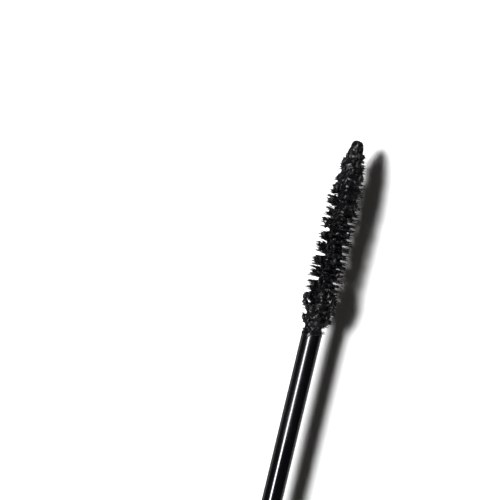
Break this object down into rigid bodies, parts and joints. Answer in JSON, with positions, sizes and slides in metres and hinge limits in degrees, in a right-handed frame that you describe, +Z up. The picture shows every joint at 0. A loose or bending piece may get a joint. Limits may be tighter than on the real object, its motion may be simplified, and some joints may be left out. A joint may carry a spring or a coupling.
{
  "type": "mascara tube with wand",
  "caption": "Round mascara tube lying open, its wand drawn out: cap, straight rod and tapered twisted-wire brush, with a bayonet neck and wiper.",
  "frame": {"origin": "centre of the face that the bottle stands on", "axes": "+X along the tube's axis, from the bottle's base to the cap; +Z up, with the tube lying on its side"},
  "size_m": [0.2293, 0.015, 0.015],
  "materials": {
    "shell_black": "moulded, high gloss",
    "plug_black": "moulded, semi-gloss",
    "label": "blank satin sticker",
    "vial_natural": "natural polypropylene, greyed by the formula inside it",
    "collar_metal": "dark metallised plastic",
    "wiper_black": "soft moulded elastomer",
    "mascara": "thick wet cream",
    "foam_white": "closed-cell foam",
    "cap_black": "moulded, high gloss",
    "disc_metal": "dark metallised plastic",
    "weight_steel": "turned steel",
    "inner_cap_natural": "natural polypropylene",
    "rod_black": "moulded, high gloss",
    "wire_steel": "drawn stainless wire",
    "fibre_black": "nylon fibres, loaded with mascara"
  },
  "bodies": {
    "bottle": {"bottle_shell": "shell_black", "base_plug": "plug_black", "base_label": "label", "inner_bottle": "vial_natural", "neck_collar": "collar_metal", "wiper": "wiper_black", "formula": "mascara"},
    "seal": {"seal_washer": "foam_white"},
    "wand": {"cap_shell": "cap_black", "cap_end_disc": "disc_metal", "cap_weight": "weight_steel", "inner_cap": "inner_cap_natural", "rod": "rod_black", "brush_wire": "wire_steel", "bristles": "fibre_black"}
  },
  "joints": [
    {"name": "wand_pull", "type": "slide", "parent": "bottle", "child": "seal", "axis": [1, 0, 0], "range_m": [-0.107, 0], "deforming": ["bristles"]},
    {"name": "cap_turn", "type": "hinge", "parent": "seal", "child": "wand", "pos_m": [0.192, 0, 0], "axis": [1, 0, 0], "range_deg": [-90, 0]}
  ]
}
